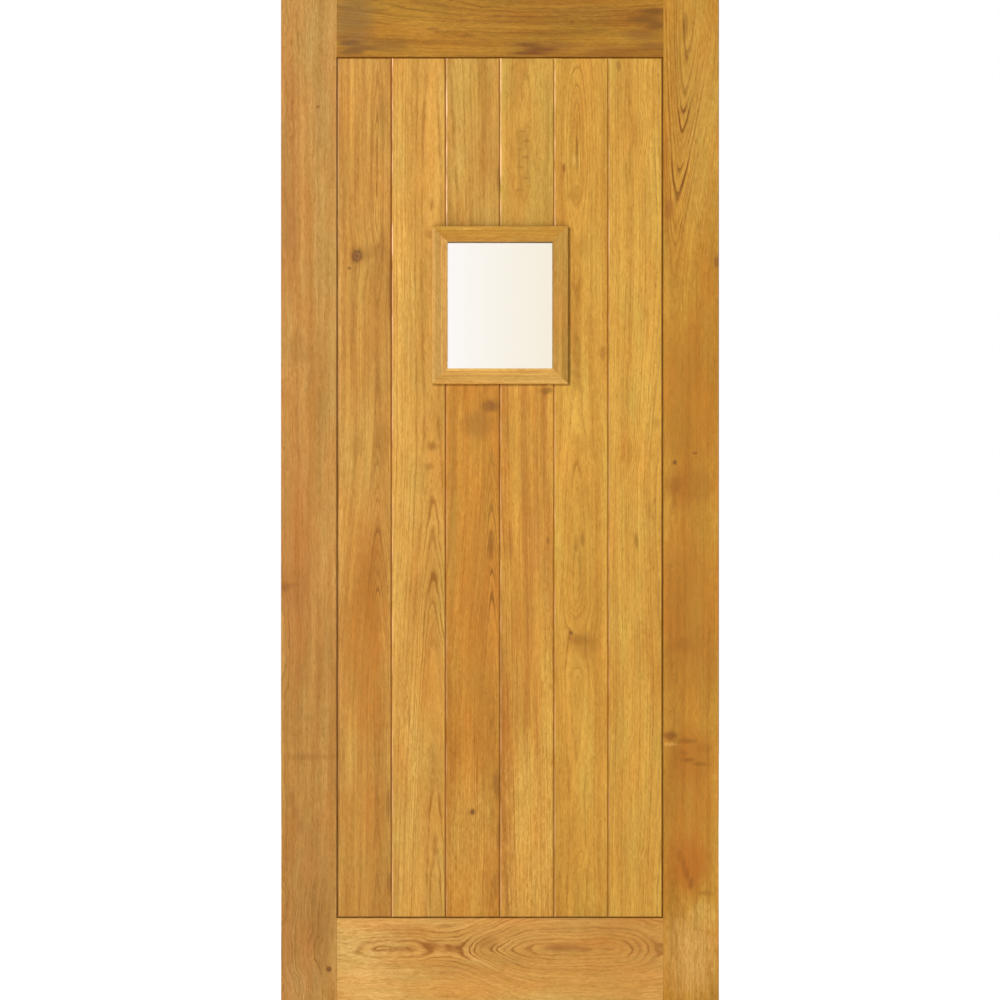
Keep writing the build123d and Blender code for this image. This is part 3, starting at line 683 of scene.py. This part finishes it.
for name, (across, depth, swing, figure, tones, seed) in INSIDE.items():
    low, high = (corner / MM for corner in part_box("back_" + name))
    middle = ((low.x + high.x) / 2, 1000)
    wood = "oiled oak, inside " + name.replace("_", " ")
    looks = dict(
        middle=middle, pith=(across, depth, 0.0, 0.02, 0.0, 1200, swing), ring=4.5, tones=tones,
        figure=figure, seed=seed,
    )
    dress("back_" + name, oak(wood, "z", chamfer_highlight=0.3, chamfer_shade=0.25, **looks))

# The beads, cut from one straight-grained length for each side: grain, seed and tones
BEADS = {
    "head": ("x", 35.0, ("a67a2c", "8d6220", "734813")),
    "foot": ("x", 35.0, ("c0984f", "9e6f2b", "7d5315")),
    "left": ("z", 35.0, ("b48c4a", "a27333", "7b5013")),
    "right": ("z", 36.0, ("a77e37", "865b1e", "6d4610")),
}
for side, (grain, seed, tones) in BEADS.items():
    low, high = (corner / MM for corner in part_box(f"outer_bead_{side}"))
    middle = ((low.z + high.z) / 2, 0) if grain == "x" else ((low.x + high.x) / 2, high.z)
    pith = (90, 50, 0.0, 0.01, 0.0, 500, 0.0)
    strip = oak(f"oiled oak, {side} bead", grain, middle, pith, 3.0, tones, seed=seed)
    dress(f"outer_bead_{side}", strip)
    dress(f"inner_bead_{side}", strip)

# Wood that the boards hide, and the wedges that show at the ends of the tenons: the grain's way, the
# middle, the pith across and deep, the rings, the seed and the pieces that are cut from it
HONEY = ("a97e36", "996926", "794c10")
HIDDEN = {
    "sawn oak, upright": ("z", (0, 1000), (50, 50), 4.0, 50.0, ("light_left_trimmer", "light_right_trimmer")),
    "sawn oak, level": ("x", (1375, 0), (50, 50), 4.0, 52.0, ("light_head_trimmer", "light_foot_trimmer")),
    "split oak wedges": ("x", (90, 0), (30, 60), 2.5, 54.0, ("top_rail_wedges", "bottom_rail_wedges")),
}
for wood, (grain, middle, (across, depth), ring, seed, pieces) in HIDDEN.items():
    pith = (across, depth, 0.0, 0.02, 0.0, 500, 0.0)
    hidden_oak = oak(wood, grain, middle, pith, ring, HONEY, seed=seed)
    for piece in pieces:
        dress(piece, hidden_oak)


def vary(tree, shader, amount, first, second, relief=0.0):
    """Colours a surface between two tones by an amount, and raises it by the same amount in millimetres."""
    reach = add(tree, "ShaderNodeMapRange", {"Value": amount, "From Min": 0.3, "From Max": 0.7}).outputs[0]
    mixed = add(tree, "ShaderNodeMix", {0: reach, 6: linear(first), 7: linear(second)}, data_type="RGBA")
    tree.links.new(mixed.outputs[2], shader.inputs["Base Color"])
    if relief:
        bump = add(tree, "ShaderNodeBump", {"Height": amount, "Distance": relief * MM, "Strength": 0.6})
        tree.links.new(bump.outputs[0], shader.inputs["Normal"])


# Float glass: clear, with painted light in its tint: a little warmer to the right, standing in for the hazy
# light seen behind it
glass, tree, shader, place = surface("float glass", 0.0, ior=1.52)
shader.inputs["Transmission Weight"].default_value = 1.0
side = add(tree, "ShaderNodeSeparateXYZ", {0: place}).outputs[0]
side = add(tree, "ShaderNodeMapRange", {"Value": side, "From Min": -0.1, "From Max": 0.1}).outputs[0]
tint = add(
    tree, "ShaderNodeMix", {0: side, 6: linear("fffdfb"), 7: linear("fcf8ee")}, data_type="RGBA",
).outputs[2]
tree.links.new(tint, shader.inputs["Base Color"])
dress("outer_pane", glass)
dress("inner_pane", glass)

# Mill aluminium: a grey bar, satin where the rollers ran, with drawing lines 1.1 mm apart and 33 mm long
aluminium, tree, shader, place = surface("mill aluminium", 0.42, 1.0)
vary(tree, shader, streaks(tree, place, (900.0, 900.0, 30.0), 3.0)[0], "aeb0b2", "d2d3d4", 0.02)
dress("spacer_bar", aluminium)

# Polysulphide sealant: near black and rubbery, uneven every 8 mm from the trowel
sealant, tree, shader, place = surface("polysulphide sealant", 0.55, ior=1.5)
vary(tree, shader, streaks(tree, place, (120.0, 120.0, 120.0), 3.0)[0], "151414", "272523", 0.4)
dress("edge_sealant", sealant)

# Foam glazing tape: dark brown, dull, with closed cells about 0.6 mm across
tape, tree, shader, place = surface("foam glazing tape", 0.85, ior=1.5)
cells = add(tree, "ShaderNodeTexVoronoi", {"Vector": place, "Scale": 1600.0}).outputs["Distance"]
vary(tree, shader, cells, "2b211a", "3d3027", 0.15)
dress("outer_glazing_tape", tape)
dress("inner_glazing_tape", tape)

# Polypropylene packers: moulded blue, slightly waxy, with clouds of 5 to 11 mm where the melt flowed
plastic, tree, shader, place = surface("moulded polypropylene", 0.45, ior=1.49)
vary(tree, shader, streaks(tree, place, (90.0, 200.0, 200.0), 2.0)[0], "233b59", "2d4a6d", 0.05)
dress("setting_blocks", plastic)
dress("location_blocks", plastic)

# Bright steel pins: drawn wire, cold grey with scratches 0.4 mm apart and 2.5 mm long
steel, tree, shader, place = surface("bright steel wire", 0.34, 1.0)
vary(tree, shader, streaks(tree, place, (2500.0, 400.0, 2500.0), 2.0)[0], "9d9b98", "c6c4c0", 0.01)
dress("inner_bead_pins", steel)

# Hardwood plywood: eleven veneers with streaks of 4.5 mm by 140 mm, every other one end grain, which is
# darker by this share
PLIES = 11.0
END_GRAIN = 0.2
core_low, core_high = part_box("core_panel")
plywood, tree, shader, place = surface("hardwood plywood", 0.7, ior=1.45)
deep = add(tree, "ShaderNodeSeparateXYZ", {0: place}).outputs[1]
ply = add(
    tree, "ShaderNodeMapRange",
    {"Value": deep, "From Min": core_low.y, "From Max": core_high.y, "To Max": PLIES},
).outputs[0]
ply = add(tree, "ShaderNodeMath", {0: ply, 1: 0.5}, operation="MULTIPLY").outputs[0]
ply = add(tree, "ShaderNodeMath", {0: ply}, operation="FRACT").outputs[0]
ply = add(tree, "ShaderNodeMath", {0: ply, 1: 0.5}, operation="GREATER_THAN").outputs[0]
veneer = streaks(tree, place, (220.0, 220.0, 7.0), 4.0, 0.6)[0]
veneer = add(tree, "ShaderNodeMath", {0: ply, 1: END_GRAIN, 2: veneer}, operation="MULTIPLY_ADD").outputs[0]
vary(tree, shader, veneer, "c9a377", "a57c50", 0.05)
dress("core_panel", plywood)

# How strongly the surround lights the leaf, and the lamps: size, power in watts, stand and aim
SURROUND_LIGHT = 0.28
LAMPS = (
    ("key", 1.8, 1150.0, (-4.2, -9.5, 4.6), (0.0, 0.0, 1.0)),
    ("back_light", 2.5, 200.0, (1.6, 4.6, 2.4), (0.0, 0.0, 1.0)),
)

# The studio: a white surround that the camera and the glass see in full, with softer light on the leaf
world = bpy.data.worlds.new("white surround")
world.use_nodes = True
tree = world.node_tree
ray = add(tree, "ShaderNodeLightPath").outputs
seen = add(
    tree, "ShaderNodeMath", {0: ray["Is Camera Ray"], 1: ray["Is Transmission Ray"]}, operation="MAXIMUM",
).outputs[0]
strength = add(tree, "ShaderNodeMapRange", {"Value": seen, "To Min": SURROUND_LIGHT, "To Max": 1.0})
background = tree.nodes["Background"]
background.inputs["Color"].default_value = linear("ffffff")
tree.links.new(strength.outputs[0], background.inputs["Strength"])
bpy.context.scene.world = world

# Matt white paper with a painted glow, half as bright near the leaf and full further off, so that it has no
# edge against the surround
FLOOR_REACH = 8.0
floor_mesh = bpy.data.meshes.new("studio_floor")
corners = [(x * FLOOR_REACH, y * FLOOR_REACH, 0) for x, y in ((-1, -1), (1, -1), (1, 1), (-1, 1))]
floor_mesh.from_pydata(corners, [], [(0, 1, 2, 3)])
floor = bpy.data.objects.new("studio_floor", floor_mesh)
bpy.context.scene.collection.objects.link(floor)
paper, tree, shader, place = surface("matt white paper", 0.9, ior=1.5)
vary(tree, shader, streaks(tree, place, (30.0, 30.0, 30.0), 4.0)[0], "efeeeb", "f6f5f2", 0.1)
far = add(tree, "ShaderNodeVectorMath", {0: place}, operation="LENGTH").outputs["Value"]
# Painted glow: the paper gives off light, more of it further from the middle
painted_glow = add(
    tree, "ShaderNodeMapRange",
    {"Value": far, "From Min": 0.5, "From Max": 2.2, "To Min": 0.5, "To Max": 1.0},
    interpolation_type="SMOOTHSTEP",
)
shader.inputs["Emission Color"].default_value = linear("ffffff")
tree.links.new(painted_glow.outputs[0], shader.inputs["Emission Strength"])
floor_mesh.materials.append(paper)

# A soft key from the upper left, and a weaker light behind for the leaf's other face
for name, size, power, stand, aim in LAMPS:
    lamp = bpy.data.lights.new(name, "AREA")
    lamp.shape = "SQUARE"
    lamp.size = size
    lamp.energy = power
    lamp_object = bpy.data.objects.new(name, lamp)
    lamp_object.location = stand
    lamp_object.rotation_euler = (Vector(aim) - Vector(stand)).to_track_quat("-Z", "Y").to_euler()
    bpy.context.scene.collection.objects.link(lamp_object)

# The camera stands square to the leaf and takes in this height of it, in metres, so that the leaf's top and
# bottom edges are just out of the picture
SHOWN_HEIGHT = 1.9726
LENS = 150.0
SENSOR = 36.0
camera_data = bpy.data.cameras.new("camera")
camera_data.lens = LENS
camera_data.sensor_width = SENSOR
camera_data.clip_end = 60
camera = bpy.data.objects.new("camera", camera_data)
camera.location = (0, OUTER_FACE - SHOWN_HEIGHT * LENS / SENSOR, LEAF_HEIGHT / 2)
camera.rotation_euler = (math.pi / 2, 0, 0)
bpy.context.scene.collection.objects.link(camera)
bpy.context.scene.camera = camera
bpy.context.scene.view_settings.view_transform = "Standard"
